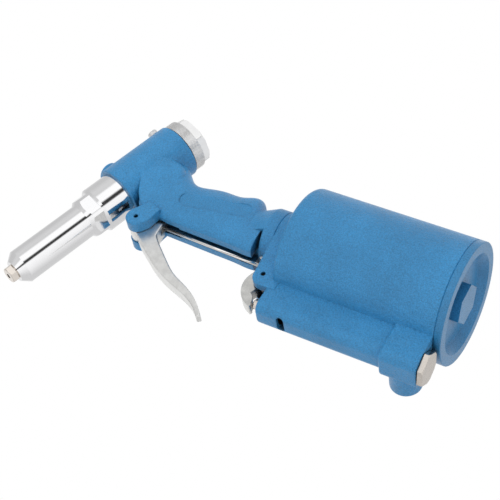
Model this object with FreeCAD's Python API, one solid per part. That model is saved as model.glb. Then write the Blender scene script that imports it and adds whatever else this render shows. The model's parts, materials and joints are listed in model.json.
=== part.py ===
import FreeCAD, Part
import math
import os

# Air-hydraulic rivet gun, standing upright on its base cap.
# Frame: origin at the centre of the base cap's rim, +Z up along the air cylinder,
# nose towards -Y, valve housing at the front (-Y). Millimetres.

os.makedirs("parts", exist_ok=True)

V = FreeCAD.Vector

# ---------------------------------------------------------------- air cylinder
CYL_R = 42.0            # outside radius of the air cylinder
BORE_R = 37.0           # air cylinder bore
CAP_SEAM_Z = 5.25       # joint between the base cap and the cylinder
BORE_TOP_Z = 112.0      # underside of the cylinder's top wall
CYL_TOP_Z = 120.5       # top of the cylinder and of the valve housing
SHOULDER_R = 4.0        # rounding of the cylinder's top edge
NECK_R = 20.3           # neck boss and handle collar
NECK_SEAM_Z = 133.8     # joint between the cylinder's neck and the handle's collar
SEAM_CHAMFER = 0.5      # edge break that shows as a dark line at each joint

# ---------------------------------------------------------------- base cap
CAP_RECESS_R = 34.5     # mouth of the recess in the base cap
CAP_FLOOR_R = 30.0      # floor of the recess
CAP_FLOOR_Z = 6.0
CAP_HEX_AF = 25.4       # hex boss for the spanner
CAP_HEX_TURN = 25.0     # degrees, corner direction of the hex boss
CAP_HEX_Z = 0.0         # the hex boss ends level with the rim
CAP_PLUG_TOP_Z = 15.0   # top of the screwed part of the cap
CAP_INNER_Z = 10.0      # inside floor of the cap

# ---------------------------------------------------------------- valve housing
VALVE_Y = -55.5         # axis of the valve bore
HOUSING_HALF = 10.2     # half width of the upper housing
HOUSING_FRONT_Y = -64.2
HOUSING_CORNER = 7.0
CHEST_HALF = 12.3       # half width of the wider inlet chest at the bottom
CHEST_FRONT_Y = -66.6
CHEST_CORNER = 6.5
CHEST_TOP_Z = 31.0
VALVE_BORE_R = 6.5
VALVE_BORE_TOP_Z = 108.0
PLUG_THREAD_R = 8.0
PLUG_THREAD_TOP_Z = 13.0
PLUG_AF = 21.0
PLUG_FACE_Z = 1.0
PLUG_SEAT_Z = 4.65      # the sealing washer fills the gap up to the housing
PLUG_TURN = 8.0
STEM_R = 3.5
STEM_TOP_Z = 125.7
INLET_R = 10.8          # round inlet boss towards -X
INLET_END_X = -25.0
INLET_Z = 17.6
INLET_BORE_R = 5.7      # tapped hole for a 1/4 inch pipe fitting
INLET_BORE_END_X = -10.5
INLET_PASSAGE_R = 3.6
EXHAUST_Z = 101.7
EXHAUST_HALF_LENGTH = 6.6
EXHAUST_HALF_HEIGHT = 2.8
AIR_PORT_R = 2.5        # cross drilling from the valve bore to the cylinder
AIR_PORT_Z = 26.0

# ---------------------------------------------------------------- rocker and its ears
ROCKER_PIVOT = (-38.0, 127.6)       # y, z
EAR_INNER = 5.5
EAR_OUTER = 10.5
ROCKER_HALF = 4.4
EAR_FOOT_Z = 114.5        # the ears and their flank start inside the cylinder top
FLANK_WIDE_HALF = 17.6   # the flank under the ears narrows towards the front
FLANK_REAR_Y = -10.0
FLANK_FRONT_Y = -38.0
PIN_R = 1.65
HUB_BORE_R = 1.71

# ---------------------------------------------------------------- handle
HANDLE_BOTTOM_Z = 145.2
HANDLE_TOP_Z = 250.0
COLLAR_TOP_Z = 142.5
FLARE_TOP_Z = 157.0
FLARE_FRONT_Y = -9.0    # the flare runs round the back of the grip only
CORE_R = 15.0           # joins the collar to the grip across the gap at the front
CHANNEL_HALF = 4.0      # slot in the handle's front that holds the rod
CHANNEL_WIDE_HALF = 5.2  # the slot widens towards the trigger
CHANNEL_WIDE_Z = 204.0
CHANNEL_BACK_Y = -15.5
OIL_BORE_R = 8.0
GLAND_THREAD_R = 13.0
GLAND_TOP_Z = 149.0
OIL_BORE_TOP_Z = 229.0
OIL_PORT_R = 2.5
OIL_PORT_Y = -5.0

# ---------------------------------------------------------------- trigger
TRIGGER_PIVOT = (-31.5, 232.2)      # y, z
LUG_INNER = 6.0
LUG_OUTER = 14.5
LUG_R = 7.4
TRIGGER_HALF = 5.6
HEEL_ROOM_R = 19.3
TRIGGER_HUB_R = 6.6
TONGUE_HALF = 3.7       # the tongue that lifts the rod passes into the slot
FRONT_LOW_HALF = 3.6    # half width of the finger face near its lower end

# ---------------------------------------------------------------- control rod
ROD_BOTTOM = (-26.0, 130.2)         # y, z
ROD_TOP = (-23.0, 224.6)
ROD_R = 1.25

# ---------------------------------------------------------------- head and nose
HEAD_TILT = 17.0        # degrees, the nose points up by this much
HEAD_Y = 45.7           # rear edge of the head tube on its axis
HEAD_Z = 248.07
HEAD_R = 20.3
HEAD_LENGTH = 57.5
HEAD_BORE_R = 14.0
HEAD_REAR_BORE_R = 16.0
HEAD_REAR_BORE_S = 10.0
HEAD_FRONT_BORE_R = 17.25
HEAD_FRONT_BORE_S = 51.5
COLLAR_END_S = 79.0
WRENCH_END_S = 91.0
WRENCH_AF = 29.0
WRENCH_TURN = 14.2
NOSE_R = 12.56
NOSE_CONE_S = 146.0
NOSE_END_S = 151.8
NOSE_TIP_R = 8.0
NOSE_BORE_R = 10.2
TIP_AF = 11.0
TIP_END_S = 157.0
TIP_BORE_R = 1.9
CAP_R = 19.3            # knurled rear cap
CAP_END_S = -15.0
CAP_FLAT_AF = 33.5
CAP_FLAT_S = -8.5
GASKET_S = -0.6


# ---------------------------------------------------------------- helpers
def cylinder(radius, z0, z1, x=0.0, y=0.0):
    return Part.makeCylinder(radius, z1 - z0, V(x, y, z0))


def cylinder_x(radius, x0, x1, y, z):
    return Part.makeCylinder(radius, x1 - x0, V(x0, y, z), V(1, 0, 0))


def box(x0, x1, y0, y1, z0, z1):
    return Part.makeBox(x1 - x0, y1 - y0, z1 - z0, V(x0, y0, z0))


def turned(profile):
    """Solid of revolution about Z from (radius, height) corners."""
    wire = Part.makePolygon([V(r, 0, z) for r, z in profile + profile[:1]])
    return Part.Face(wire).revolve(V(0, 0, 0), V(0, 0, 1), 360)


def ring(outer, inner, z0, z1):
    return turned([(inner, z0), (outer, z0), (outer, z1), (inner, z1)])


def o_ring(centre_radius, section_radius, z):
    return Part.makeTorus(centre_radius, section_radius, V(0, 0, z))


def hexagon(across_flats, z0, z1, turn=0.0, x=0.0, y=0.0):
    radius = across_flats / math.sqrt(3.0)
    corners = []
    for k in range(7):
        a = math.radians(turn + 60.0 * k)
        corners.append(V(x + radius * math.cos(a), y + radius * math.sin(a), z0))
    return Part.Face(Part.makePolygon(corners)).extrude(V(0, 0, z1 - z0))


def coil(mean_radius, wire_radius, z0, z1, turns):
    """Open coil spring about Z, its wire just inside z0 and z1."""
    rise = z1 - z0 - 2.0 * wire_radius
    steps = int(8 * turns)
    points = []
    for k in range(steps + 1):
        a = 2.0 * math.pi * turns * k / steps
        height = z0 + wire_radius + rise * k / steps
        points.append(V(mean_radius * math.cos(a), mean_radius * math.sin(a), height))
    curve = Part.BSplineCurve()
    curve.interpolate(points)
    start = curve.tangent(curve.FirstParameter)[0]
    section = Part.Wire(Part.makeCircle(wire_radius, points[0], start))
    return Part.Wire(curve.toShape()).makePipeShell([section], True, True)


def on_head(shape):
    """Place a shape modelled about Z (s along Z, up along Y) on the head axis."""
    placed = shape.copy()
    placed.rotate(V(0, 0, 0), V(1, 0, 0), 90.0 - HEAD_TILT)
    placed.translate(V(0, HEAD_Y, HEAD_Z))
    return placed


def side_plate(wire, x0, x1):
    """Extrude a wire drawn in the plane x = 0 from x0 to x1."""
    face = Part.Face(wire)
    face.translate(V(x0, 0, 0))
    return face.extrude(V(x1 - x0, 0, 0))


def yz(points):
    return [V(0, y, z) for y, z in points]


def line(a, b):
    return Part.makeLine(V(0, a[0], a[1]), V(0, b[0], b[1]))


def arc(a, mid, b):
    return Part.Arc(*yz([a, mid, b])).toShape()


def spline(points):
    curve = Part.BSplineCurve()
    curve.interpolate(yz(points))
    return curve.toShape()


def round_block(half, y_back, y_front, corner, z0, z1):
    """Block with two rounded vertical edges at its front."""
    block = box(-half, half, y_front, y_back, z0, z1)
    edges = [e for e in block.Edges if is_upright(e) and abs(e.CenterOfMass.y - y_front) < 0.01]
    return block.makeFillet(corner, edges)


def is_upright(edge):
    a, b = edge.Vertexes[0].Point, edge.Vertexes[-1].Point
    return abs(a.x - b.x) < 0.01 and abs(a.y - b.y) < 0.01 and abs(a.z - b.z) > 1.0


def circles_at(shape, z, radius):
    """The circular edges of a given radius at a given height."""
    found = []
    for e in shape.Edges:
        if isinstance(e.Curve, Part.Circle) and abs(e.Curve.Radius - radius) < 0.01:
            if abs(e.CenterOfMass.z - z) < 0.01:
                found.append(e)
    return found


def save(name, shape):
    shape = shape.removeSplitter() if len(shape.Solids) == 1 else shape
    shape.exportStep("parts/" + name + ".step")


# ---------------------------------------------------------------- air cylinder casting
body = cylinder(CYL_R, CAP_SEAM_Z, CYL_TOP_Z)
body = body.makeFillet(SHOULDER_R, circles_at(body, CYL_TOP_Z, CYL_R))
body = body.makeChamfer(SEAM_CHAMFER, circles_at(body, CAP_SEAM_Z, CYL_R))
neck = cylinder(NECK_R, CYL_TOP_Z - 10.0, NECK_SEAM_Z)
neck = neck.makeChamfer(SEAM_CHAMFER, circles_at(neck, NECK_SEAM_Z, NECK_R))
housing = round_block(HOUSING_HALF, -30.0, HOUSING_FRONT_Y, HOUSING_CORNER, CHEST_TOP_Z - 5.0, CYL_TOP_Z)
top_rim = [e for e in housing.Edges if e.BoundBox.ZMin > CYL_TOP_Z - 0.01 and e.CenterOfMass.y < -45.0]
housing = housing.makeFillet(2.0, top_rim)
chest = round_block(CHEST_HALF, -30.0, CHEST_FRONT_Y, CHEST_CORNER, CAP_SEAM_Z, CHEST_TOP_Z)
chest_rim = [e for e in chest.Edges if e.BoundBox.ZMin > CHEST_TOP_Z - 0.01 and e.CenterOfMass.y < -35.0]
chest = chest.makeFillet(1.6, chest_rim)
inlet = cylinder_x(INLET_R, INLET_END_X, 0.0, VALVE_Y, INLET_Z)
inlet_rim = [e for e in inlet.Edges if e.BoundBox.XMax < INLET_END_X + 0.01]
inlet = inlet.makeFillet(1.2, inlet_rim)
ear_wire = Part.Wire([
    line((-12.0, EAR_FOOT_Z), (-12.0, NECK_SEAM_Z)),
    line((-12.0, NECK_SEAM_Z), (-39.5, NECK_SEAM_Z)),
    arc((-39.5, NECK_SEAM_Z), (-45.2, 131.4), (-47.4, 125.6)),
    line((-47.4, 125.6), (-46.8, EAR_FOOT_Z)),
    line((-46.8, EAR_FOOT_Z), (-12.0, EAR_FOOT_Z)),
])
ears = side_plate(ear_wire, -EAR_OUTER, EAR_OUTER)
flank = Part.makePolygon([
    V(-FLANK_WIDE_HALF, FLANK_REAR_Y, EAR_FOOT_Z),
    V(FLANK_WIDE_HALF, FLANK_REAR_Y, EAR_FOOT_Z),
    V(EAR_OUTER, FLANK_FRONT_Y, EAR_FOOT_Z),
    V(-EAR_OUTER, FLANK_FRONT_Y, EAR_FOOT_Z),
    V(-FLANK_WIDE_HALF, FLANK_REAR_Y, EAR_FOOT_Z),
])
ears = ears.fuse(Part.Face(flank).extrude(V(0, 0, NECK_SEAM_Z - EAR_FOOT_Z)))
ears = ears.cut(box(-EAR_INNER, EAR_INNER, -60.0, -NECK_R, CYL_TOP_Z, 150.0))
casting = body.fuse([neck, housing, chest, inlet, ears])
casting = casting.cut(cylinder(BORE_R, CAP_SEAM_Z - 1.0, BORE_TOP_Z))
casting = casting.cut(cylinder(GLAND_THREAD_R, BORE_TOP_Z - 1.0, NECK_SEAM_Z + 1.0))
casting = casting.cut(cylinder(VALVE_BORE_R, CAP_SEAM_Z - 1.0, VALVE_BORE_TOP_Z, 0.0, VALVE_Y))
casting = casting.cut(cylinder(PLUG_THREAD_R, CAP_SEAM_Z - 1.0, PLUG_THREAD_TOP_Z, 0.0, VALVE_Y))
casting = casting.cut(cylinder(STEM_R + 0.06, VALVE_BORE_TOP_Z - 1.0, CYL_TOP_Z + 1.0, 0.0, VALVE_Y))
casting = casting.cut(cylinder_x(INLET_BORE_R, INLET_END_X - 1.0, INLET_BORE_END_X, VALVE_Y, INLET_Z))
casting = casting.cut(cylinder_x(INLET_PASSAGE_R, INLET_BORE_END_X - 1.0, -1.0, VALVE_Y, INLET_Z))
casting = casting.cut(cylinder_x(PIN_R, -20.0, 20.0, *ROCKER_PIVOT))
casting = casting.cut(Part.makeCylinder(AIR_PORT_R, 22.0, V(0, VALVE_Y, AIR_PORT_Z), V(0, 1, 0)))
slot_half = EXHAUST_HALF_LENGTH - EXHAUST_HALF_HEIGHT
slot_z0 = EXHAUST_Z - EXHAUST_HALF_HEIGHT
slot_z1 = EXHAUST_Z + EXHAUST_HALF_HEIGHT
slot = box(-slot_half, slot_half, -70.0, VALVE_Y, slot_z0, slot_z1)
for side in (-1, 1):
    slot_end = Part.makeCylinder(
        EXHAUST_HALF_HEIGHT, VALVE_Y + 70.0, V(side * slot_half, -70.0, EXHAUST_Z), V(0, 1, 0)
    )
    slot = slot.fuse(slot_end)
slot = slot.cut(box(-20.0, 20.0, VALVE_Y - 3.0, VALVE_Y + 5.0, 0.0, 150.0))
casting = casting.cut(slot)
save("cylinder_casting", casting)

# ---------------------------------------------------------------- base cap
cap = turned([
    (0.0, CAP_FLOOR_Z),
    (CAP_FLOOR_R, CAP_FLOOR_Z),
    (CAP_RECESS_R, 0.0),
    (CYL_R - SEAM_CHAMFER, 0.0),
    (CYL_R, SEAM_CHAMFER),
    (CYL_R, CAP_SEAM_Z - SEAM_CHAMFER),
    (CYL_R - SEAM_CHAMFER, CAP_SEAM_Z),
    (BORE_R - 0.02, CAP_SEAM_Z),
    (BORE_R - 0.02, CAP_PLUG_TOP_Z),
    (BORE_R - 5.0, CAP_PLUG_TOP_Z),
    (BORE_R - 5.0, CAP_INNER_Z),
    (0.0, CAP_INNER_Z),
])
cap = cap.fuse(hexagon(CAP_HEX_AF, CAP_HEX_Z, CAP_FLOOR_Z + 1.0, CAP_HEX_TURN))
SEAL_SECTION_R = 1.1
CAP_SEAL_Z = 11.5
cap_groove_r = BORE_R - 2.0 * SEAL_SECTION_R
cap = cap.cut(ring(BORE_R + 1.0, cap_groove_r, CAP_SEAL_Z - 1.3, CAP_SEAL_Z + 1.3))
save("base_cap", cap)
save("base_cap_seal", o_ring(cap_groove_r + SEAL_SECTION_R, SEAL_SECTION_R - 0.02, CAP_SEAL_Z))

# ---------------------------------------------------------------- air piston and ram
BUMPER_TOP_Z = 17.0
PISTON_Z0 = 17.3
PISTON_Z1 = 31.3
PISTON_R = BORE_R - 0.4
RAM_R = 5.5
RAM_TOP_Z = 153.0
save("bumper", ring(24.0, 14.0, CAP_INNER_Z, BUMPER_TOP_Z))
piston = turned([
    (RAM_R, PISTON_Z0),
    (PISTON_R - 1.0, PISTON_Z0),
    (PISTON_R, PISTON_Z0 + 1.0),
    (PISTON_R, PISTON_Z0 + 5.0),
    (PISTON_R - 4.0, PISTON_Z0 + 5.0),
    (PISTON_R - 4.0, PISTON_Z0 + 9.0),
    (PISTON_R, PISTON_Z0 + 9.0),
    (PISTON_R, PISTON_Z1 - 1.0),
    (PISTON_R - 1.0, PISTON_Z1),
    (30.0, PISTON_Z1),
    (28.0, PISTON_Z1 - 5.0),
    (14.0, PISTON_Z1 - 5.0),
    (12.0, PISTON_Z1),
    (RAM_R, PISTON_Z1),
])
save("air_piston", piston)
save("air_piston_seal", ring(BORE_R - 0.05, PISTON_R - 4.0, PISTON_Z0 + 5.2, PISTON_Z0 + 8.8))
ram = turned([
    (0.0, PISTON_Z0 - 5.0),
    (RAM_R - 0.5, PISTON_Z0 - 5.0),
    (RAM_R, PISTON_Z0 - 4.5),
    (RAM_R, RAM_TOP_Z - 1.5),
    (RAM_R - 1.5, RAM_TOP_Z),
    (0.0, RAM_TOP_Z),
])
save("ram", ram)
ram_nut = hexagon(17.0, PISTON_Z0 - 4.4, PISTON_Z0, 10.0).cut(cylinder(RAM_R, 0.0, PISTON_Z1))
save("ram_nut", ram_nut)

# ---------------------------------------------------------------- neck gland between the castings
GLAND_FLANGE_R = 19.0
GLAND_FLANGE_Z = 107.0
RAM_SEAL_Z = 143.0
gland = turned([
    (RAM_R + 0.06, GLAND_FLANGE_Z),
    (GLAND_FLANGE_R, GLAND_FLANGE_Z),
    (GLAND_FLANGE_R, BORE_TOP_Z),
    (GLAND_THREAD_R, BORE_TOP_Z),
    (GLAND_THREAD_R, GLAND_TOP_Z),
    (RAM_R + 0.06, GLAND_TOP_Z),
])
gland = gland.cut(ring(RAM_R + 2.2, RAM_R - 1.0, RAM_SEAL_Z - 1.3, RAM_SEAL_Z + 1.3))
save("neck_gland", gland)
save("ram_seal", o_ring(RAM_R + SEAL_SECTION_R, SEAL_SECTION_R - 0.05, RAM_SEAL_Z))

# ---------------------------------------------------------------- frame casting: handle and head


def handle_section(z, front_y, front_half, half, rear_y):
    """Grip outline at height z: flat front, rounded shoulders, elliptical back."""
    middle_y = front_y + 0.42 * (rear_y - front_y)
    right = []
    for t in (30.0, 60.0):
        a = math.radians(t)
        x = front_half + (half - front_half) * math.sin(a)
        right.append((x, front_y + (middle_y - front_y) * (1.0 - math.cos(a))))
    for t in (0.0, 30.0, 60.0):
        a = math.radians(t)
        right.append((half * math.cos(a), middle_y + (rear_y - middle_y) * math.sin(a)))
    left = [(-x, y) for x, y in reversed(right)]
    outline = [(front_half, front_y)] + right + [(0.0, rear_y)] + left + [(-front_half, front_y)]
    curve = Part.BSplineCurve()
    curve.interpolate([V(x, y, z) for x, y in outline])
    flat = Part.makeLine(V(-front_half, front_y, z), V(front_half, front_y, z))
    return Part.Wire([curve.toShape(), flat])


grip_sections = [
    handle_section(HANDLE_BOTTOM_Z, -24.6, 9.5, 15.4, 20.6),
    handle_section(160.0, -24.2, 9.5, 15.0, 21.5),
    handle_section(175.0, -23.7, 9.5, 15.0, 22.1),
    handle_section(190.0, -23.2, 9.5, 14.6, 21.4),
    handle_section(203.0, -22.8, 9.5, 14.2, 19.4),
    handle_section(212.0, -22.5, 9.5, 14.0, 18.4),
    handle_section(219.0, -22.2, 9.5, 14.0, 21.4),
    handle_section(226.0, -22.0, 9.5, 14.0, 28.0),
    handle_section(234.0, -21.0, 9.5, 13.8, 33.0),
    handle_section(242.0, -14.0, 9.0, 13.4, 33.0),
    handle_section(HANDLE_TOP_Z, -3.0, 8.5, 13.0, 32.0),
]
grip = Part.makeLoft(grip_sections, True, False)
collar = cylinder(NECK_R, NECK_SEAM_Z, COLLAR_TOP_Z)
collar = collar.makeChamfer(SEAM_CHAMFER, circles_at(collar, NECK_SEAM_Z, NECK_R))
flare = Part.makeCone(NECK_R, CORE_R - 1.0, FLARE_TOP_Z - COLLAR_TOP_Z, V(0, 0, COLLAR_TOP_Z))
flare = flare.cut(box(-30.0, 30.0, -30.0, FLARE_FRONT_Y, COLLAR_TOP_Z, FLARE_TOP_Z))
core = cylinder(CORE_R, COLLAR_TOP_Z - 1.0, HANDLE_BOTTOM_Z + 1.0)
head = Part.makeCylinder(HEAD_R, HEAD_LENGTH)
head = head.makeFillet(0.8, [e for e in head.Edges if isinstance(e.Curve, Part.Circle)])
TOP_BOSS_S = 48.0
TOP_BOSS_R = 8.0
TOP_BOSS_UP = 23.6
top_boss = Part.makeCylinder(TOP_BOSS_R, TOP_BOSS_UP - 15.0, V(0, 15.0, TOP_BOSS_S), V(0, 1, 0))
top_boss = top_boss.makeFillet(1.2, [e for e in top_boss.Edges if e.BoundBox.YMin > TOP_BOSS_UP - 0.01])
PIVOT_Y, PIVOT_Z = TRIGGER_PIVOT
lug_wire = Part.Wire([
    line((PIVOT_Y + 5.0, PIVOT_Z + 6.0), (-15.3, 230.2)),
    line((-15.3, 230.2), (-19.2, 219.9)),
    line((-19.2, 219.9), (-31.2, 222.3)),
    line((-31.2, 222.3), (PIVOT_Y - 4.6, PIVOT_Z - 6.2)),
    arc((PIVOT_Y - 4.6, PIVOT_Z - 6.2), (PIVOT_Y - LUG_R, PIVOT_Z), (PIVOT_Y - 3.0, PIVOT_Z + 6.8)),
    arc((PIVOT_Y - 3.0, PIVOT_Z + 6.8), (PIVOT_Y + 1.4, PIVOT_Z + 7.3), (PIVOT_Y + 5.0, PIVOT_Z + 6.0)),
])
lugs = side_plate(lug_wire, -LUG_OUTER, LUG_OUTER)
lug_edges = []
for e in lugs.Edges:
    if abs(abs(e.CenterOfMass.x) - LUG_OUTER) < 0.01:
        lug_edges.append(e)
lugs = lugs.makeFillet(0.7, lug_edges)


def web_section(up, half, s_rear, s_front, corner_rear, corner_front):
    """Rounded rectangle across the head's axis direction, at a distance from that axis."""
    corners = [
        (half, s_rear + corner_rear), (half, s_front - corner_front),
        (half - corner_front, s_front), (-half + corner_front, s_front),
        (-half, s_front - corner_front), (-half, s_rear + corner_rear),
        (-half + corner_rear, s_rear), (half - corner_rear, s_rear),
    ]
    points = [V(x, up, s) for x, s in corners]
    bend = math.sqrt(0.5)
    edges = []
    for k in range(0, 8, 2):
        start, end = points[k], points[k + 1]
        edges.append(Part.makeLine(start, end))
        after = points[(k + 2) % 8]
        if k % 4 == 0:
            centre = V(after.x, up, end.z)
        else:
            centre = V(end.x, up, after.z)
        middle = centre + (end - centre) * bend + (after - centre) * bend
        edges.append(Part.Arc(end, middle, after).toShape())
    return Part.Wire(edges)


WEB_SECTIONS = (
    # up, half width, rear s, front s
    (-8.0, 18.0, 16.0, 40.0),
    (-12.0, 16.6, 15.5, 43.0),
    (-16.5, 15.0, 14.0, 48.5),
    (-21.0, 14.2, 13.5, 53.0),
    (-27.0, 13.6, 15.0, 57.0),
    (-34.0, 12.4, 27.0, 57.5),
)
WEB_REAR_CORNER = 6.0
WEB_FRONT_CORNER = 1.5
web_wires = []
for up, half, s_rear, s_front in WEB_SECTIONS:
    web_wires.append(web_section(up, half, s_rear, s_front, WEB_REAR_CORNER, WEB_FRONT_CORNER))
web = Part.makeLoft(web_wires, True, False)
frame = grip.fuse([collar, flare, core, lugs, on_head(head.fuse([top_boss, web]))])
bores = [
    Part.makeCylinder(HEAD_BORE_R, HEAD_LENGTH),
    Part.makeCylinder(HEAD_REAR_BORE_R, HEAD_REAR_BORE_S + 1.0, V(0, 0, -1.0)),
    Part.makeCylinder(HEAD_FRONT_BORE_R, HEAD_LENGTH, V(0, 0, HEAD_FRONT_BORE_S)),
]
for bore in bores:
    frame = frame.cut(on_head(bore))
frame = frame.cut(cylinder(GLAND_THREAD_R, NECK_SEAM_Z - 1.0, GLAND_TOP_Z + 0.5))
frame = frame.cut(cylinder(OIL_BORE_R, NECK_SEAM_Z - 1.0, OIL_BORE_TOP_Z))
frame = frame.cut(cylinder(OIL_PORT_R, OIL_BORE_TOP_Z - 1.0, 252.0, 0.0, OIL_PORT_Y))
frame = frame.cut(box(-CHANNEL_HALF, CHANNEL_HALF, -60.0, CHANNEL_BACK_Y, COLLAR_TOP_Z, 229.0))
frame = frame.cut(box(-CHANNEL_WIDE_HALF, CHANNEL_WIDE_HALF, -60.0, -19.0, CHANNEL_WIDE_Z, 229.0))
heel_room = cylinder_x(HEEL_ROOM_R, -LUG_INNER, LUG_INNER, *TRIGGER_PIVOT)
heel_room = heel_room.cut(box(-20.0, 20.0, CHANNEL_BACK_Y, 0.0, 200.0, 260.0))
heel_room = heel_room.cut(box(-20.0, 20.0, -60.0, 0.0, 240.5, 260.0))
frame = frame.cut(heel_room)
frame = frame.cut(cylinder_x(PIN_R, -20.0, 20.0, *TRIGGER_PIVOT))
PAD_LOW = (3.0, 166.0)
PAD_HIGH = (-3.0, 207.0)
PAD_R = 6.5
PAD_FLOOR_X = 13.3
low_y, low_z = PAD_LOW
high_y, high_z = PAD_HIGH
pad_wire = Part.Wire([
    line((low_y - PAD_R, low_z), (high_y - PAD_R, high_z)),
    arc((high_y - PAD_R, high_z), (high_y, high_z + PAD_R), (high_y + PAD_R, high_z)),
    line((high_y + PAD_R, high_z), (low_y + PAD_R, low_z)),
    arc((low_y + PAD_R, low_z), (low_y, low_z - PAD_R), (low_y - PAD_R, low_z)),
])
for side in (-1, 1):
    frame = frame.cut(side_plate(pad_wire, side * PAD_FLOOR_X, side * 20.0))
SCREW_TURN = 25.0       # degrees from the top of the head towards +X
SCREW_S = 6.0
SCREW_R = 2.0
screw_hole = Part.makeCylinder(SCREW_R, 10.0, V(0, 14.0, SCREW_S), V(0, 1, 0))
screw_hole.rotate(V(0, 0, 0), V(0, 0, 1), -SCREW_TURN)
frame = frame.cut(on_head(screw_hole))
save("frame_casting", frame)

SCREW_HEAD_R = 3.6
SCREW_HEAD_HEIGHT = 3.2
screw_foot = HEAD_REAR_BORE_R + 0.1
screw_top = HEAD_R + SCREW_HEAD_HEIGHT
lock_screw = Part.makeCylinder(SCREW_R, HEAD_R - screw_foot, V(0, screw_foot, SCREW_S), V(0, 1, 0))
screw_head = Part.makeCylinder(SCREW_HEAD_R, SCREW_HEAD_HEIGHT, V(0, HEAD_R, SCREW_S), V(0, 1, 0))
screw_head = screw_head.makeFillet(0.8, [e for e in screw_head.Edges if e.BoundBox.YMin > screw_top - 0.1])
screw_slot = box(-5.0, 5.0, screw_top - 1.0, screw_top + 1.0, SCREW_S - 0.5, SCREW_S + 0.5)
lock_screw = lock_screw.fuse(screw_head).cut(screw_slot)
lock_screw.rotate(V(0, 0, 0), V(0, 0, 1), -SCREW_TURN)
save("cap_lock_screw", on_head(lock_screw))

# ---------------------------------------------------------------- rear cap
TAIL_R = 5.2
TAIL_BORE_R = 5.27
SPRING_SEAT_S = 2.0
MANDREL_EXIT_R = 3.5
rear_cap = turned([
    (MANDREL_EXIT_R, CAP_END_S),
    (CAP_R - 2.0, CAP_END_S),
    (CAP_R, CAP_END_S + 2.0),
    (CAP_R, GASKET_S),
    (HEAD_REAR_BORE_R, GASKET_S),
    (HEAD_REAR_BORE_R, 8.0),
    (12.7, 8.0),
    (12.7, SPRING_SEAT_S),
    (TAIL_BORE_R, SPRING_SEAT_S),
    (TAIL_BORE_R, -11.0),
    (MANDREL_EXIT_R, -11.0),
])
flats = hexagon(CAP_FLAT_AF, CAP_END_S - 1.0, CAP_FLAT_S, WRENCH_TURN)
outside_flats = ring(30.0, 8.0, CAP_END_S - 1.0, CAP_FLAT_S).cut(flats)
save("rear_cap", on_head(rear_cap.cut(outside_flats)))
save("rear_cap_gasket", on_head(ring(CAP_R - 0.6, HEAD_REAR_BORE_R, GASKET_S, 0.0)))

# ---------------------------------------------------------------- nose casing and nosepiece
WRENCH_CORNER_R = 15.9
casing = turned([
    (11.3, 54.5),
    (HEAD_FRONT_BORE_R, 54.5),
    (HEAD_FRONT_BORE_R, COLLAR_END_S - 1.6),
    (HEAD_FRONT_BORE_R - 1.6, COLLAR_END_S),
    (NOSE_R, COLLAR_END_S),
    (NOSE_R, NOSE_CONE_S),
    (NOSE_TIP_R, NOSE_END_S),
    (5.2, NOSE_END_S),
    (5.2, 142.0),
    (NOSE_BORE_R, 142.0),
    (NOSE_BORE_R, 64.0),
    (11.3, 64.0),
])
wrench = hexagon(WRENCH_AF, COLLAR_END_S - 0.5, WRENCH_END_S, WRENCH_TURN)
corner_trim = turned([
    (NOSE_R - 1.0, COLLAR_END_S - 1.0),
    (WRENCH_CORNER_R, COLLAR_END_S - 1.0),
    (WRENCH_CORNER_R, WRENCH_END_S - 3.6),
    (NOSE_R - 1.0, WRENCH_END_S + 1.0),
])
casing = casing.fuse(wrench.common(corner_trim))
casing = casing.cut(Part.makeCylinder(NOSE_BORE_R, 40.0, V(0, 0, 70.0)))
save("nose_casing", on_head(casing))
tip = turned([
    (TIP_BORE_R, 137.5),
    (2.9, 137.5),
    (3.2, 139.0),
    (3.2, 142.0),
    (5.2, 142.0),
    (5.2, NOSE_END_S),
    (4.6, NOSE_END_S),
    (4.6, NOSE_END_S + 0.5),
    (TIP_AF, NOSE_END_S + 0.5),
    (TIP_AF, TIP_END_S),
    (TIP_BORE_R, TIP_END_S),
])
tip_limit = hexagon(TIP_AF, NOSE_END_S, TIP_END_S + 1.0, WRENCH_TURN)
tip_limit = tip_limit.common(turned([
    (0.0, NOSE_END_S), (6.2, NOSE_END_S), (6.2, TIP_END_S - 0.8), (5.2, TIP_END_S), (0.0, TIP_END_S),
]))
tip_limit = tip_limit.fuse(Part.makeCylinder(5.3, NOSE_END_S - 130.0, V(0, 0, 130.0)))
save("nosepiece", on_head(tip.common(tip_limit)))

# ---------------------------------------------------------------- rod gland at the head's front
ROD_SHANK_R = 6.9
ROD_SEAL_S = 58.0
rod_gland = turned([
    (ROD_SHANK_R + 0.05, HEAD_FRONT_BORE_S),
    (HEAD_FRONT_BORE_R, HEAD_FRONT_BORE_S),
    (HEAD_FRONT_BORE_R, 54.5),
    (11.0, 54.5),
    (11.0, 62.0),
    (ROD_SHANK_R + 0.05, 62.0),
])
rod_gland = rod_gland.cut(ring(ROD_SHANK_R + 2.2, ROD_SHANK_R - 1.0, ROD_SEAL_S - 1.3, ROD_SEAL_S + 1.3))
save("rod_gland", on_head(rod_gland))
save("rod_seal", on_head(o_ring(ROD_SHANK_R + SEAL_SECTION_R, SEAL_SECTION_R - 0.05, ROD_SEAL_S)))

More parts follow.
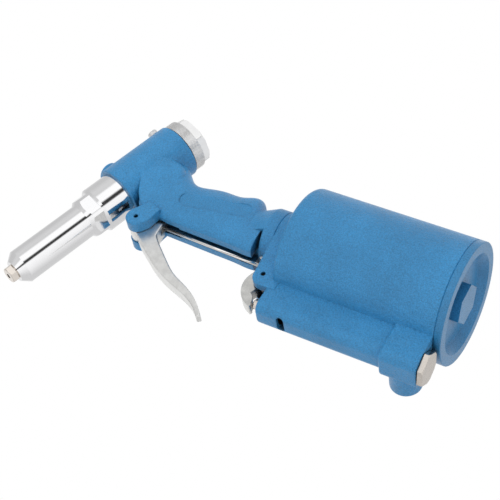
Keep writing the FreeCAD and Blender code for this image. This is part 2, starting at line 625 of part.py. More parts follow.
# ---------------------------------------------------------------- pull piston and jaw train
CASE_R = 9.7            # outside of the jaw case, its coupler and the lock nut
PISTON_S0 = 34.0
PISTON_S1 = 46.4
pull = turned([
    (2.6, 8.0),
    (TAIL_R, 8.0),
    (TAIL_R, PISTON_S0),
    (HEAD_BORE_R - 0.06, PISTON_S0),
    (HEAD_BORE_R - 0.06, 38.6),
    (HEAD_BORE_R - 2.3, 38.6),
    (HEAD_BORE_R - 2.3, 41.2),
    (HEAD_BORE_R - 0.06, 41.2),
    (HEAD_BORE_R - 0.06, PISTON_S1),
    (ROD_SHANK_R, PISTON_S1),
    (ROD_SHANK_R, 84.0),
    (6.0, 84.0),
    (6.0, 100.0),
    (2.6, 100.0),
])
save("pull_piston", on_head(pull))
save("pull_piston_seal", on_head(o_ring(HEAD_BORE_R - SEAL_SECTION_R - 0.05, SEAL_SECTION_R, 39.9)))
save("pull_return_spring", on_head(coil(9.4, 1.25, SPRING_SEAT_S, PISTON_S0, 4.5)))
lock_nut = hexagon(18.0, 80.5, 86.5, 0.0).cut(Part.makeCylinder(6.0, 20.0, V(0, 0, 75.0)))
lock_nut = lock_nut.common(Part.makeCylinder(CASE_R, 20.0, V(0, 0, 75.0)))
lock_nut = lock_nut.cut(Part.makeCylinder(ROD_SHANK_R, 84.0 - 75.0, V(0, 0, 75.0)))
save("lock_nut", on_head(lock_nut))
coupler = turned([
    (6.0, 86.5),
    (CASE_R, 86.5),
    (CASE_R, 97.0),
    (8.4, 97.0),
    (8.4, 104.0),
    (3.0, 104.0),
    (3.0, 100.0),
    (6.0, 100.0),
])
save("jaw_coupler", on_head(coupler))
CASE_BORE_R = 7.6
CASE_END_S = 139.4
CONE_START_S = 124.0
CONE_SLOPE = (CASE_BORE_R - 3.6) / (138.4 - CONE_START_S)
jaw_case = turned([
    (8.4, 97.0),
    (CASE_R, 97.0),
    (CASE_R, CASE_END_S - 2.0),
    (7.7, CASE_END_S),
    (3.6, CASE_END_S),
    (3.6, 138.4),
    (CASE_BORE_R, CONE_START_S),
    (CASE_BORE_R, 104.0),
    (8.4, 104.0),
])
save("jaw_case", on_head(jaw_case))
JAW_GAP = 0.25          # between a jaw's back and the case
JAW_S0 = 122.0
JAW_S1 = 137.0
JAW_BORE_R = 2.0        # the nosepiece's tail holds the jaws open at rest


def jaw_radius(s):
    return min(CASE_BORE_R, CASE_BORE_R - CONE_SLOPE * (s - CONE_START_S)) - JAW_GAP


jaw_blank = turned([
    (JAW_BORE_R, JAW_S0 + 2.6),
    (jaw_radius(JAW_S0) - 1.0, JAW_S0),
    (jaw_radius(JAW_S0), JAW_S0),
    (jaw_radius(CONE_START_S), CONE_START_S),
    (jaw_radius(JAW_S1), JAW_S1),
    (JAW_BORE_R, JAW_S1),
])
for k in range(3):
    sector = Part.makeCylinder(20.0, 40.0, V(0, 0, 110.0), V(0, 0, 1), 112.0)
    sector.rotate(V(0, 0, 0), V(0, 0, 1), 120.0 * k + 4.0)
    save("jaw_%d" % (k + 1), on_head(jaw_blank.common(sector)))
pusher = turned([
    (2.6, 106.0),
    (4.2, 106.0),
    (4.2, 117.5),
    (7.3, 117.5),
    (7.3, 121.2),
    (6.3, 121.2),
    (2.6, 123.4),
])
save("jaw_pusher", on_head(pusher))
save("jaw_spring", on_head(coil(5.9, 0.6, 104.0, 117.5, 4.5)))

# ---------------------------------------------------------------- trigger
blade_wire = Part.Wire([
    line((-35.0, 233.5), (-29.0, 219.0)),
    spline([(-29.0, 219.0), (-36.4, 213.4), (-43.4, 205.4), (-52.0, 195.0), (-58.4, 186.0), (-63.3, 175.4),
            (-68.6, 165.4), (-75.8, 156.4), (-80.4, 151.9)]),
    line((-80.4, 151.9), (-82.8, 154.3)),
    spline([(-82.8, 154.3), (-76.2, 161.2), (-69.2, 175.8), (-64.6, 189.4), (-57.8, 203.1), (-50.6, 214.0),
            (-43.4, 224.3), (-35.0, 233.5)]),
])
blade = side_plate(blade_wire, -TRIGGER_HALF, TRIGGER_HALF)
long_edges = [e for e in blade.Edges if e.Length > 55.0]
blade = blade.makeFillet(1.4, long_edges)
tip_edges = [e for e in blade.Edges if e.BoundBox.ZMax < 154.5 and e.Length > 4.0]
blade = blade.makeFillet(0.9, tip_edges)
ridge_high = V(TRIGGER_HALF, -57.9, 201.3)
ridge_low = V(TRIGGER_HALF, -64.5, 171.9)
front_low = V(FRONT_LOW_HALF, -76.2, 161.2)
ridge_dir = (ridge_low - ridge_high).normalize()
bevel_normal = (front_low - ridge_high).cross(ridge_dir).normalize()
if bevel_normal.x < 0.0:
    bevel_normal = bevel_normal * -1.0
bevel_front = bevel_normal.cross(ridge_dir).normalize()
if bevel_front.y > 0.0:
    bevel_front = bevel_front * -1.0
bevel_corners = []
for along, forward in ((-30.0, 0.0), (70.0, 0.0), (70.0, 40.0), (-30.0, 40.0), (-30.0, 0.0)):
    bevel_corners.append(ridge_high + ridge_dir * along + bevel_front * forward)
bevel = Part.Face(Part.makePolygon(bevel_corners)).extrude(bevel_normal * 15.0)
blade = blade.cut(bevel)
blade = blade.cut(bevel.mirror(V(0, 0, 0), V(1, 0, 0)))
hub = cylinder_x(TRIGGER_HUB_R, -TRIGGER_HALF, TRIGGER_HALF, *TRIGGER_PIVOT)
heel_wire = Part.Wire([
    line((-37.8, 230.2), (-25.0, 231.0)),
    line((-25.0, 231.0), (-25.4, 220.6)),
    line((-25.4, 220.6), (-19.8, 220.6)),
    line((-19.8, 220.6), (-19.8, 217.6)),
    line((-19.8, 217.6), (-21.0, 216.7)),
    line((-21.0, 216.7), (-34.5, 215.6)),
    line((-34.5, 215.6), (-37.8, 230.2)),
])
heel = side_plate(heel_wire, -TRIGGER_HALF, TRIGGER_HALF)
trigger = blade.fuse([hub, heel])
trigger = trigger.cut(box(-1.7, 1.7, -28.6, -15.0, 214.0, 222.0))
trigger = trigger.cut(box(-4.3, 4.3, -29.6, -15.0, 220.6, 229.5))
for side in (-1, 1):
    inner, outer = sorted((side * TONGUE_HALF, side * 10.0))
    trigger = trigger.cut(box(inner, outer, -24.3, -15.0, 210.0, 235.0))
trigger = trigger.cut(cylinder_x(HUB_BORE_R, -20.0, 20.0, *TRIGGER_PIVOT))
save("trigger", trigger)
save("trigger_pin", cylinder_x(PIN_R, -11.0, 11.0, *TRIGGER_PIVOT))

# ---------------------------------------------------------------- control rod
rod_dir = V(0, ROD_TOP[0] - ROD_BOTTOM[0], ROD_TOP[1] - ROD_BOTTOM[1])
ROD_LENGTH = rod_dir.Length
rod_dir.normalize()
BUTTON_R = 2.7
BUTTON_LENGTH = 3.0
rod = Part.makeCylinder(ROD_R, ROD_LENGTH, V(0, *ROD_BOTTOM), rod_dir)
low_button = Part.makeCylinder(BUTTON_R, BUTTON_LENGTH, V(0, *ROD_BOTTOM), rod_dir)
high_start = V(0, *ROD_BOTTOM) + rod_dir * (ROD_LENGTH - BUTTON_LENGTH)
high_button = Part.makeCylinder(BUTTON_R, BUTTON_LENGTH, high_start, rod_dir)
save("control_rod", rod)
buttons = []
for button in (low_button, high_button):
    button = button.makeFillet(0.8, [e for e in button.Edges if isinstance(e.Curve, Part.Circle)])
    buttons.append(button.cut(rod))
save("rod_nuts", Part.makeCompound(buttons))

# ---------------------------------------------------------------- rocker lever
rocker_wire = Part.Wire([
    arc((-33.6, 131.0), (-37.2, 122.1), (-43.6, 127.2)),
    spline([(-43.6, 127.2), (-47.6, 129.2), (-51.0, 130.7)]),
    arc((-51.0, 130.7), (-54.6, 127.4), (-58.6, 126.3)),
    arc((-58.6, 126.3), (-60.3, 125.6), (-61.6, 126.3)),
    spline([(-61.6, 126.3), (-60.2, 129.6), (-57.0, 134.0), (-53.0, 137.0), (-48.1, 138.9), (-43.6, 139.4),
            (-39.0, 138.6), (-34.6, 137.1), (-30.5, 136.8)]),
    line((-30.5, 136.8), (-24.6, 136.8)),
    line((-24.6, 136.8), (-22.4, 140.4)),
    arc((-22.4, 140.4), (-20.9, 138.8), (-21.6, 134.0)),
    line((-21.6, 134.0), (-31.2, 134.0)),
    line((-31.2, 134.0), (-33.6, 131.0)),
])
rocker = side_plate(rocker_wire, -ROCKER_HALF, ROCKER_HALF)
rocker = rocker.cut(box(-1.7, 1.7, -28.3, -15.0, 130.0, 145.0))
rocker = rocker.cut(cylinder_x(HUB_BORE_R, -20.0, 20.0, *ROCKER_PIVOT))
save("rocker", rocker)
save("rocker_pin", cylinder_x(PIN_R, -8.5, 8.5, *ROCKER_PIVOT))

# ---------------------------------------------------------------- valve
SPOOL_Z0 = 24.0
SPOOL_Z1 = 40.0
stem = turned([
    (0.0, SPOOL_Z0),
    (VALVE_BORE_R - 0.1, SPOOL_Z0),
    (VALVE_BORE_R - 0.1, SPOOL_Z0 + 4.0),
    (VALVE_BORE_R - 2.0, SPOOL_Z0 + 4.0),
    (VALVE_BORE_R - 2.0, SPOOL_Z0 + 6.4),
    (VALVE_BORE_R - 0.1, SPOOL_Z0 + 6.4),
    (VALVE_BORE_R - 0.1, SPOOL_Z1 - 6.4),
    (VALVE_BORE_R - 2.0, SPOOL_Z1 - 6.4),
    (VALVE_BORE_R - 2.0, SPOOL_Z1 - 4.0),
    (VALVE_BORE_R - 0.1, SPOOL_Z1 - 4.0),
    (VALVE_BORE_R - 0.1, SPOOL_Z1),
    (2.5, SPOOL_Z1),
    (2.5, 100.0),
    (STEM_R, 102.0),
    (STEM_R, STEM_TOP_Z - 0.6),
    (STEM_R - 0.6, STEM_TOP_Z),
    (0.0, STEM_TOP_Z),
])
stem.translate(V(0, VALVE_Y, 0))
save("valve_stem", stem)
spool_seals = []
for z in (SPOOL_Z0 + 5.2, SPOOL_Z1 - 5.2):
    seal = o_ring(VALVE_BORE_R - 1.05, 0.93, z)
    seal.translate(V(0, VALVE_Y, 0))
    spool_seals.append(seal)
save("spool_seals", Part.makeCompound(spool_seals))
valve_spring = coil(3.6, 0.55, 9.0, SPOOL_Z0, 5.5)
valve_spring.translate(V(0, VALVE_Y, 0))
save("valve_spring", valve_spring)
plug = hexagon(PLUG_AF, PLUG_FACE_Z, PLUG_SEAT_Z, PLUG_TURN)
plug = plug.common(turned([
    (0.0, PLUG_FACE_Z),
    (11.0, PLUG_FACE_Z),
    (12.0, PLUG_FACE_Z + 0.8),
    (12.0, PLUG_SEAT_Z),
    (0.0, PLUG_SEAT_Z),
]))
plug = plug.fuse(cylinder(PLUG_THREAD_R, PLUG_SEAT_Z - 1.0, PLUG_THREAD_TOP_Z))
plug = plug.cut(cylinder(4.6, 9.0, PLUG_THREAD_TOP_Z + 1.0))
plug.translate(V(0, VALVE_Y, 0))
save("valve_plug", plug)
plug_seal = ring(10.0, PLUG_THREAD_R, PLUG_SEAT_Z, CAP_SEAM_Z)
plug_seal.translate(V(0, VALVE_Y, 0))
save("valve_plug_seal", plug_seal)
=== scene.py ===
import json
import math

import bpy
from mathutils import Matrix, Vector


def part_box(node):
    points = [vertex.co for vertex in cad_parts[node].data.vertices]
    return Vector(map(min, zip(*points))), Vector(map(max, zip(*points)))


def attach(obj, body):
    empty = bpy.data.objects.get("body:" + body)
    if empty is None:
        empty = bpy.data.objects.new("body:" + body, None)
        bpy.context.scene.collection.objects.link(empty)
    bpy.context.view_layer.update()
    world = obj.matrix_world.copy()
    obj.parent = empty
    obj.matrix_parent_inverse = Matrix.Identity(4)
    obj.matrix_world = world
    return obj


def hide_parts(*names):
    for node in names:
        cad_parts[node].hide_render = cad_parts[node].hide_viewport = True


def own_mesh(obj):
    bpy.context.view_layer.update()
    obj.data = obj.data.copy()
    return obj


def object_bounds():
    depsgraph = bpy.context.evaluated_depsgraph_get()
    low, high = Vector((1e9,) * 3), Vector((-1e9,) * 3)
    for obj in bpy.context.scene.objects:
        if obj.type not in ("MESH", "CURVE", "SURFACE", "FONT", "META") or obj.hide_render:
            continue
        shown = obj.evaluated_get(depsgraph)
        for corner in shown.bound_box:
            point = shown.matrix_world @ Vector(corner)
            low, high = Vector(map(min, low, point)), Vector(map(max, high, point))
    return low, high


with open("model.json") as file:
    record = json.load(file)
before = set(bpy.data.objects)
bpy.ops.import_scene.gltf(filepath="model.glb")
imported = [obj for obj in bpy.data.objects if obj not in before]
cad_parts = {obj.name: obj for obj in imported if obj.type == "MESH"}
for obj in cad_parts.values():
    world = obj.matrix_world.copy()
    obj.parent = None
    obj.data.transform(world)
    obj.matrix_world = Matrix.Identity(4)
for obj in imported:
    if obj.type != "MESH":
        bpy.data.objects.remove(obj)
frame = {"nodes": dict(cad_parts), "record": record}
nodes = frame["nodes"]
record = frame["record"]
cad_low, cad_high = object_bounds()

MM = 0.001
TURN = 2.0 * math.pi
SCENE = bpy.context.scene

# ---------------------------------------------------------------- the head's axis, from the record
mounts = {m["name"]: m for m in record["mounts"]}
NOSE_DIR = Vector(mounts["mandrel_bore"]["axis"]).normalized()
TAIL_END = Vector(mounts["mandrel_exit"]["pos_m"])


# ---------------------------------------------------------------- node helpers
def new_material(name):
    material = bpy.data.materials.new(name)
    material.use_nodes = True
    tree = material.node_tree
    return material, tree, tree.nodes["Principled BSDF"]


def add(tree, kind, **values):
    """A shader node; keyword names are its properties, or inputs when written as in_Name."""
    node = tree.nodes.new(kind)
    for key, value in values.items():
        if key.startswith("in_"):
            node.inputs[key[3:].replace("_", " ")].default_value = value
        else:
            setattr(node, key, value)
    return node


def noise(tree, coords, scale, detail=3.0, roughness=0.55):
    node = add(tree, "ShaderNodeTexNoise", in_Scale=scale, in_Detail=detail, in_Roughness=roughness)
    tree.links.new(coords, node.inputs["Vector"])
    return node.outputs["Fac"]


def ramp(tree, value, stops):
    """Colour ramp through (position, grey or colour) stops."""
    node = tree.nodes.new("ShaderNodeValToRGB")
    elements = node.color_ramp.elements
    while len(elements) < len(stops):
        elements.new(0.5)
    for element, (position, colour) in zip(elements, stops):
        element.position = position
        rgb = (colour,) * 3 if isinstance(colour, (int, float)) else colour
        element.color = (*rgb, 1.0)
    tree.links.new(value, node.inputs["Fac"])
    return node.outputs["Color"]


def maths(tree, operation, a, b=None):
    node = add(tree, "ShaderNodeMath", operation=operation)
    for socket, value in zip(node.inputs, (a, b)):
        if isinstance(value, (int, float)):
            socket.default_value = value
        elif value is not None:
            tree.links.new(value, socket)
    return node.outputs["Value"]


def mix_colour(tree, factor, a, b, blend="MIX"):
    node = add(tree, "ShaderNodeMix", data_type="RGBA", blend_type=blend)
    for socket, value in ((node.inputs[0], factor), (node.inputs[6], a), (node.inputs[7], b)):
        if isinstance(value, (int, float)):
            socket.default_value = value
        elif isinstance(value, tuple):
            socket.default_value = (*value, 1.0)
        else:
            tree.links.new(value, socket)
    return node.outputs[2]


def bump(tree, height, strength, distance, normal=None):
    node = add(tree, "ShaderNodeBump", in_Strength=strength, in_Distance=distance)
    tree.links.new(height, node.inputs["Height"])
    if normal is not None:
        tree.links.new(normal, node.inputs["Normal"])
    return node.outputs["Normal"]


def object_coords(tree):
    return tree.nodes.new("ShaderNodeTexCoord").outputs["Object"]


def measured_along(tree, coords, axis):
    """Component of the coordinates along a fixed axis."""
    node = add(tree, "ShaderNodeVectorMath", operation="DOT_PRODUCT")
    tree.links.new(coords, node.inputs[0])
    node.inputs[1].default_value = axis
    return node.outputs["Value"]


def painted_shade_mask(tree, reach):
    """Painted shade: white on open surfaces, falling to black deep inside bores and slots."""
    occlusion = add(tree, "ShaderNodeAmbientOcclusion", samples=6, in_Distance=reach)
    return ramp(tree, occlusion.outputs["AO"], [(0.12, 0.03), (0.50, 1.0)])


def edge_mask(tree, radius):
    """White where an edge is sharp within the radius: the bevelled normal leaves the true one there."""
    bevel = add(tree, "ShaderNodeBevel", samples=4, in_Radius=radius)
    geometry = tree.nodes.new("ShaderNodeNewGeometry")
    dot = add(tree, "ShaderNodeVectorMath", operation="DOT_PRODUCT")
    tree.links.new(bevel.outputs["Normal"], dot.inputs[0])
    tree.links.new(geometry.outputs["Normal"], dot.inputs[1])
    return ramp(tree, dot.outputs["Value"], [(0.80, 1.0), (0.97, 0.0)])


# ---------------------------------------------------------------- materials
PEBBLE_SCALE = 560.0        # texture cells per metre, coarse pebbles of the enamel
WRINKLE_SCALE = 1200.0
SWELL_SCALE = 160.0
PATCH_SCALE = 35.0
LATHE_SCALE = 2600.0        # rings left by turning
SMEAR_SCALE = 70.0
MOTTLE_SCALE = 180.0
CAST_SCALE = 700.0
RUBBER_SCALE = 1500.0
KNURL_MARGIN = 0.15 * MM    # depth below the knurled cylinder that still counts as its surface
EDGE_HIGHLIGHT_REACH = 0.0007          # reach of the painted highlight: paler paint along sharp edges
CAST_SHADE_REACH = 0.02            # reach of the painted shade in the bores and slots of enamelled castings
PLATED_SHADE_REACH = 0.012         # and of the painted shade in plated castings


def hammered_paint(name, colour, wrinkle, edge_radius, rough=0.34):
    """Glossy enamel over a cast surface: rounded pebbles with finer wrinkles between them."""
    material, tree, shader = new_material(name)
    coords = object_coords(tree)
    pebbles = add(tree, "ShaderNodeTexVoronoi", feature="SMOOTH_F1", in_Scale=PEBBLE_SCALE, in_Smoothness=0.6)
    tree.links.new(coords, pebbles.inputs["Vector"])
    fine = noise(tree, coords, WRINKLE_SCALE, 4.0, 0.6)
    broad = noise(tree, coords, SWELL_SCALE, 3.0)
    relief = maths(tree, "ADD", maths(tree, "MULTIPLY", pebbles.outputs["Distance"], -0.9), fine)
    relief = maths(tree, "ADD", relief, maths(tree, "MULTIPLY", broad, 1.1))
    soft_edges = add(tree, "ShaderNodeBevel", samples=4, in_Radius=edge_radius)
    normal = bump(tree, relief, wrinkle, 0.0006, soft_edges.outputs["Normal"])
    tree.links.new(normal, shader.inputs["Normal"])
    patches = noise(tree, coords, PATCH_SCALE, 2.0)
    darker = tuple(0.86 * c for c in colour)
    tone = mix_colour(tree, ramp(tree, patches, [(0.35, 0.0), (0.65, 1.0)]), darker, colour)
    # painted highlight: the paint is paler along sharp edges, as if they caught the light
    highlit_edge_tone = tuple(min(1.0, 1.35 * c + 0.03) for c in colour)
    tone = mix_colour(tree, maths(tree, "MULTIPLY", edge_mask(tree, EDGE_HIGHLIGHT_REACH), 0.35), tone, highlit_edge_tone)
    grain = ramp(tree, fine, [(0.36, 0.74), (0.50, 0.95), (0.64, 1.13)])
    tone = mix_colour(tree, 1.0, tone, grain, "MULTIPLY")
    # painted shade: the enamel darkens deep in bores and slots and under parts, where shade falls
    tone = mix_colour(tree, 1.0, tone, painted_shade_mask(tree, CAST_SHADE_REACH), "MULTIPLY")
    tree.links.new(tone, shader.inputs["Base Color"])
    tree.links.new(ramp(tree, fine, [(0.3, rough - 0.06), (0.7, rough + 0.08)]), shader.inputs["Roughness"])
    shader.inputs["Specular IOR Level"].default_value = 0.35
    shader.inputs["Coat Weight"].default_value = 0.25
    shader.inputs["Coat Roughness"].default_value = 0.32
    return material


def turned_metal(name, colour, rough, line_height=0.12):
    """Metal turned on a lathe about the head's axis: fine rings, faint smears, slight colour drift."""
    material, tree, shader = new_material(name)
    coords = object_coords(tree)
    rings = add(tree, "ShaderNodeTexNoise", noise_dimensions="1D", in_Scale=LATHE_SCALE, in_Detail=3.0)
    tree.links.new(measured_along(tree, coords, NOSE_DIR), rings.inputs["W"])
    smears = noise(tree, coords, SMEAR_SCALE, 4.0)
    shader.inputs["Metallic"].default_value = 1.0
    deeper = tuple(0.93 * c for c in colour)
    tree.links.new(mix_colour(tree, smears, deeper, colour), shader.inputs["Base Color"])
    tree.links.new(ramp(tree, smears, [(0.3, rough), (0.7, rough + 0.05)]), shader.inputs["Roughness"])
    tree.links.new(bump(tree, rings.outputs["Fac"], line_height, 0.00005), shader.inputs["Normal"])
    return material


def knurled_metal(name, colour, rough, radius, teeth, groove):
    """Turned metal with a diamond knurl on its outer cylinder about the head's axis; painted shade darkens
    the knurl's valleys.
    """
    material, tree, shader = new_material(name)
    coords = object_coords(tree)
    from_axis = add(tree, "ShaderNodeVectorMath", operation="SUBTRACT")
    tree.links.new(coords, from_axis.inputs[0])
    from_axis.inputs[1].default_value = TAIL_END
    local = from_axis.outputs["Vector"]
    side = Vector((1.0, 0.0, 0.0))
    across = measured_along(tree, local, side)
    upward = measured_along(tree, local, NOSE_DIR.cross(side))
    length = measured_along(tree, local, NOSE_DIR)
    angle = maths(tree, "MULTIPLY", maths(tree, "ARCTAN2", upward, across), float(teeth))
    climb = maths(tree, "MULTIPLY", length, teeth / radius)
    ridges = []
    for operation in ("ADD", "SUBTRACT"):
        wave = maths(tree, "SINE", maths(tree, operation, angle, climb))
        ridges.append(maths(tree, "ABSOLUTE", wave))
    diamonds = maths(tree, "MINIMUM", *ridges)
    across_squared = maths(tree, "MULTIPLY", across, across)
    upward_squared = maths(tree, "MULTIPLY", upward, upward)
    distance = maths(tree, "SQRT", maths(tree, "ADD", across_squared, upward_squared))
    outside = maths(tree, "GREATER_THAN", distance, radius - KNURL_MARGIN)
    height = maths(tree, "MULTIPLY", diamonds, outside)
    smears = noise(tree, coords, 90.0, 4.0)
    shader.inputs["Metallic"].default_value = 1.0
    ridge = ramp(tree, diamonds, [(0.0, 0.0), (0.45, 1.0)])
    valley = maths(tree, "MULTIPLY", maths(tree, "SUBTRACT", 1.0, ridge), outside)
    # painted shade: the knurl's valleys are darkened in colour, where shade falls between the diamonds
    shade = tuple(0.42 * c for c in colour)
    tone = mix_colour(tree, valley, colour, shade)
    brightness = ramp(tree, smears, [(0.35, 0.88), (0.65, 1.0)])
    tree.links.new(mix_colour(tree, brightness, (0.0, 0.0, 0.0), tone), shader.inputs["Base Color"])
    tree.links.new(ramp(tree, smears, [(0.3, rough), (0.7, rough + 0.10)]), shader.inputs["Roughness"])
    tree.links.new(bump(tree, height, 0.5, groove), shader.inputs["Normal"])
    return material


def cast_metal(name, colour, rough, height=0.15, drift=0.12, edge_radius=0.0004, shaded=False):
    """Plated casting: a soft mottle in colour and roughness over a fine grain.

    A shaded one has painted shade darkening its crevices.
    """
    material, tree, shader = new_material(name)
    coords = object_coords(tree)
    mottle = noise(tree, coords, MOTTLE_SCALE, 5.0, 0.65)
    fine = noise(tree, coords, CAST_SCALE, 4.0)
    shader.inputs["Metallic"].default_value = 1.0
    deeper = tuple((1.0 - drift) * c for c in colour)
    tone = mix_colour(tree, ramp(tree, mottle, [(0.35, 0.0), (0.65, 1.0)]), deeper, colour)
    if shaded:
        # painted shade in the crevices of a shaded casting
        tone = mix_colour(tree, 1.0, tone, painted_shade_mask(tree, PLATED_SHADE_REACH), "MULTIPLY")
    tree.links.new(tone, shader.inputs["Base Color"])
    tree.links.new(ramp(tree, mottle, [(0.3, rough), (0.7, rough + 0.12)]), shader.inputs["Roughness"])
    soft_edges = add(tree, "ShaderNodeBevel", samples=6, in_Radius=edge_radius)
    normal = bump(tree, fine, height, 0.0002, soft_edges.outputs["Normal"])
    tree.links.new(normal, shader.inputs["Normal"])
    return material


def rubber(name):
    material, tree, shader = new_material(name)
    coords = object_coords(tree)
    grain = noise(tree, coords, RUBBER_SCALE, 3.0)
    tone = mix_colour(tree, grain, (0.012, 0.012, 0.013), (0.035, 0.035, 0.036))
    tree.links.new(tone, shader.inputs["Base Color"])
    tree.links.new(ramp(tree, grain, [(0.3, 0.45), (0.7, 0.65)]), shader.inputs["Roughness"])
    tree.links.new(bump(tree, grain, 0.2, 0.0001), shader.inputs["Normal"])
    return material


BLUE = (0.036, 0.265, 0.560)
KNURL_RADIUS = 19.3 * MM
KNURL_TEETH = 44
MATERIALS = {
    "blue_frame": hammered_paint("hammered blue frame", BLUE, 0.70, 0.0016),
    "blue_cylinder": hammered_paint("hammered blue cylinder", BLUE, 0.85, 0.0012),
    "blue_cap": hammered_paint("smooth blue cap", tuple(0.80 * c for c in BLUE), 0.15, 0.0006, 0.30),
    "nose_chrome": turned_metal("chrome nose", (0.86, 0.86, 0.87), 0.07),
    # the rocker gets painted shade, so its underside in the nose's cavity reads dark
    "rocker_chrome": cast_metal(
        "chrome rocker", (0.74, 0.74, 0.72), 0.16, height=0.08, drift=0.2, shaded=True),
    "tip_nickel": turned_metal("nickel nosepiece", (0.78, 0.72, 0.66), 0.16),
    "plug_nickel": cast_metal("nickel plug", (0.69, 0.64, 0.59), 0.22, height=0.06),
    "trigger_nickel": cast_metal(
        "satin nickel trigger", (0.86, 0.86, 0.845), 0.28, height=0.2, drift=0.14, edge_radius=0.0018),
    "cap_aluminium": knurled_metal(
        "knurled aluminium", (0.90, 0.90, 0.90), 0.28, KNURL_RADIUS, KNURL_TEETH, 0.0004),
    "pin_steel": cast_metal("blackened steel", (0.05, 0.045, 0.04), 0.45),
    "screw_steel": cast_metal("bright zinc", (0.78, 0.78, 0.78), 0.38, height=0.05),
    "rod_steel": turned_metal("bright rod steel", (0.86, 0.84, 0.82), 0.07, line_height=0.01),
    "stem_brass": cast_metal("plated valve stem", (0.84, 0.78, 0.72), 0.18, height=0.05),
    "piston_aluminium": cast_metal("machined aluminium", (0.72, 0.73, 0.75), 0.28),
    "hard_steel": cast_metal("ground steel", (0.60, 0.61, 0.63), 0.18, height=0.05),
    "turned_steel": cast_metal("turned steel", (0.52, 0.53, 0.55), 0.25, height=0.08),
    "spring_steel": cast_metal("spring steel", (0.40, 0.40, 0.42), 0.30, height=0.08),
    "seal_rubber": rubber("nitrile rubber"),
}

for part in record["subparts"]:
    mesh = nodes[part["node"]].data
    mesh.materials.clear()
    mesh.materials.append(MATERIALS[part["material_slot"]])

# ---------------------------------------------------------------- the control rod, rounder than its solid
ROD_SIDES = 48
END_TOLERANCE = 0.2 * MM


def end_centre(obj, height):
    """Middle of the rod's end face near a height."""
    ring = [v.co for v in obj.data.vertices if abs(v.co.z - height) < END_TOLERANCE]
    return sum(ring, Vector()) / len(ring)


def smooth_rod(node, body, slot_name):
    """A rod with many sides between the ends of the plain one."""
    low_corner, high_corner = (Vector(corner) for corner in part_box(node))
    radius = 0.5 * (high_corner.x - low_corner.x)
    low = end_centre(nodes[node], low_corner.z)
    high = end_centre(nodes[node], high_corner.z)
    axis = (high - low).normalized()
    side = axis.orthogonal().normalized()
    other = axis.cross(side)
    vertices = []
    for centre in (low, high):
        for k in range(ROD_SIDES):
            turn = TURN * k / ROD_SIDES
            vertices.append(centre + radius * (math.cos(turn) * side + math.sin(turn) * other))
    faces = [tuple(range(ROD_SIDES - 1, -1, -1)), tuple(range(ROD_SIDES, 2 * ROD_SIDES))]
    for k in range(ROD_SIDES):
        after = (k + 1) % ROD_SIDES
        faces.append((k, after, ROD_SIDES + after, ROD_SIDES + k))
    mesh = bpy.data.meshes.new("rod surface")
    mesh.from_pydata(vertices, [], faces)
    for polygon in mesh.polygons:
        polygon.use_smooth = len(polygon.vertices) == 4
    mesh.materials.append(MATERIALS[slot_name])
    rod = bpy.data.objects.new("smooth_" + node, mesh)
    SCENE.collection.objects.link(rod)
    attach(rod, body)
    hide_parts(node)


smooth_rod("control_rod", "control_rod", "rod_steel")


def soft_spring(node, body):
    """Own copy of a spring's mesh, riding with its body in place of the plain one."""
    spring = bpy.data.objects.new("soft_" + node, nodes[node].data.copy())
    SCENE.collection.objects.link(spring)
    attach(spring, body)
    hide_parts(node)
    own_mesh(spring)


soft_spring("valve_spring", "frame")
soft_spring("pull_return_spring", "frame")
soft_spring("jaw_spring", "puller")

# ---------------------------------------------------------------- stage: floor, camera and lights
FLOOR_SIZE = 12.0


def one_sided_floor():
    """Pale floor under the tool, seen from above only."""
    material = bpy.data.materials.new("pale floor")
    material.use_nodes = True
    tree = material.node_tree
    shader = tree.nodes["Principled BSDF"]
    coords = object_coords(tree)
    grain = noise(tree, coords, 40.0, 3.0)
    tone = mix_colour(tree, grain, (0.90, 0.90, 0.90), (0.93, 0.93, 0.93))
    tree.links.new(tone, shader.inputs["Base Color"])
    shader.inputs["Roughness"].default_value = 0.9
    shader.inputs["Specular IOR Level"].default_value = 0.1
    clear = tree.nodes.new("ShaderNodeBsdfTransparent")
    geometry = tree.nodes.new("ShaderNodeNewGeometry")
    side = tree.nodes.new("ShaderNodeMixShader")
    tree.links.new(geometry.outputs["Backfacing"], side.inputs[0])
    tree.links.new(shader.outputs[0], side.inputs[1])
    tree.links.new(clear.outputs[0], side.inputs[2])
    tree.links.new(side.outputs[0], tree.nodes["Material Output"].inputs["Surface"])
    bpy.ops.mesh.primitive_plane_add(size=FLOOR_SIZE, location=(0, 0, cad_low.z))
    floor = bpy.context.object
    floor.name = "floor"
    floor.data.materials.append(material)
    for ray in ("visible_diffuse", "visible_glossy", "visible_transmission", "visible_shadow"):
        setattr(floor, ray, False)


one_sided_floor()

TARGET = Vector((40.66, -44.50, 129.47)) * MM
CAMERA_AZIMUTH = math.radians(55.39)
CAMERA_ELEVATION = math.radians(-24.09)
CAMERA_ROLL = math.radians(-70.45)
CAMERA_DISTANCE = 0.82
CAMERA_LENS = 92.84

camera = bpy.data.objects.new("camera", bpy.data.cameras.new("camera"))
SCENE.collection.objects.link(camera)
back = Vector((
    math.sin(CAMERA_AZIMUTH) * math.cos(CAMERA_ELEVATION),
    -math.cos(CAMERA_AZIMUTH) * math.cos(CAMERA_ELEVATION),
    math.sin(CAMERA_ELEVATION),
))
camera.location = TARGET + CAMERA_DISTANCE * back
level = (-back).to_track_quat("-Z", "Y").to_matrix()
rolled = level @ Matrix.Rotation(CAMERA_ROLL, 3, "Z")
camera.rotation_euler = rolled.to_euler()
camera.data.lens = CAMERA_LENS
camera.data.sensor_width = 36.0
camera.data.clip_start = 0.01
camera.data.clip_end = 50.0
SCENE.camera = camera
VIEW_RIGHT = rolled @ Vector((1, 0, 0))
VIEW_UP = rolled @ Vector((0, 1, 0))


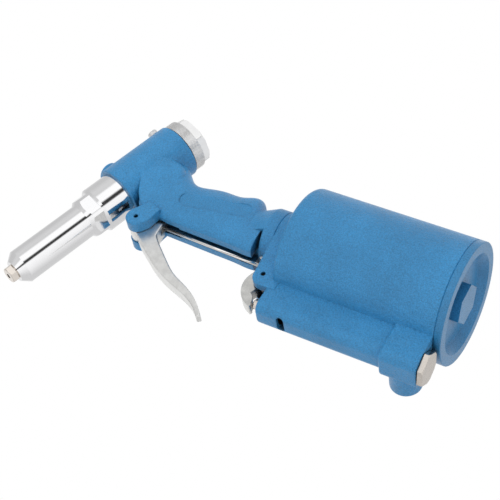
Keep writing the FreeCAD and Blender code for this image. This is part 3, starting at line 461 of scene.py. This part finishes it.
def area_light(name, direction, distance, size, power):
    """Soft light on the target from a direction."""
    light = bpy.data.lights.new(name, "AREA")
    light.shape = "DISK"
    light.size = size
    light.energy = power
    lamp = bpy.data.objects.new(name, light)
    SCENE.collection.objects.link(lamp)
    lamp.location = TARGET + distance * direction.normalized()
    lamp.rotation_euler = (-direction).to_track_quat("-Z", "Y").to_euler()
    lamp.visible_camera = False
    lamp.visible_glossy = False


KEY_DIRECTION = VIEW_UP + 0.5 * back - 0.5 * VIEW_RIGHT
KEY_DISTANCE = 1.3
KEY_SIZE = 0.9
KEY_POWER = 4.0
area_light("key", KEY_DIRECTION, KEY_DISTANCE, KEY_SIZE, KEY_POWER)


TENT = (
    # degrees round the nose from the camera's side, brightness
    (-180.0, 0.95),
    (-150.0, 0.72),
    (-100.0, 0.72),
    (-55.0, 1.00),
    (-30.0, 1.10),
    (-9.0, 1.15),
    (-3.0, 0.05),
    (9.0, 0.04),
    (17.0, 1.20),
    (47.0, 1.20),
    (57.0, 0.74),
    (78.0, 0.78),
    (105.0, 0.66),
    (130.0, 0.64),
    (155.0, 0.80),
    (180.0, 0.95),
)


def surround():
    """White studio tent with grey sides and one dark gap, run parallel to the nose."""
    world = bpy.data.worlds.new("studio tent")
    SCENE.world = world
    world.use_nodes = True
    tree = world.node_tree
    towards = (back - back.dot(NOSE_DIR) * NOSE_DIR).normalized()
    above = NOSE_DIR.cross(towards)
    direction = tree.nodes.new("ShaderNodeTexCoord").outputs["Generated"]
    height = measured_along(tree, direction, above)
    depth = measured_along(tree, direction, towards)
    angle = maths(tree, "ARCTAN2", height, depth)
    turn = maths(tree, "ADD", maths(tree, "DIVIDE", angle, TURN), 0.5)
    tent = ramp(tree, turn, [(0.5 + degrees / 360.0, tone) for degrees, tone in TENT])
    camera_ray = tree.nodes.new("ShaderNodeLightPath").outputs["Is Camera Ray"]
    colour = mix_colour(tree, camera_ray, tent, (1.0, 1.0, 1.0))
    tree.links.new(colour, tree.nodes["Background"].inputs["Color"])
    tree.nodes["Background"].inputs["Strength"].default_value = 1.0


surround()
SCENE.view_settings.view_transform = "Standard"
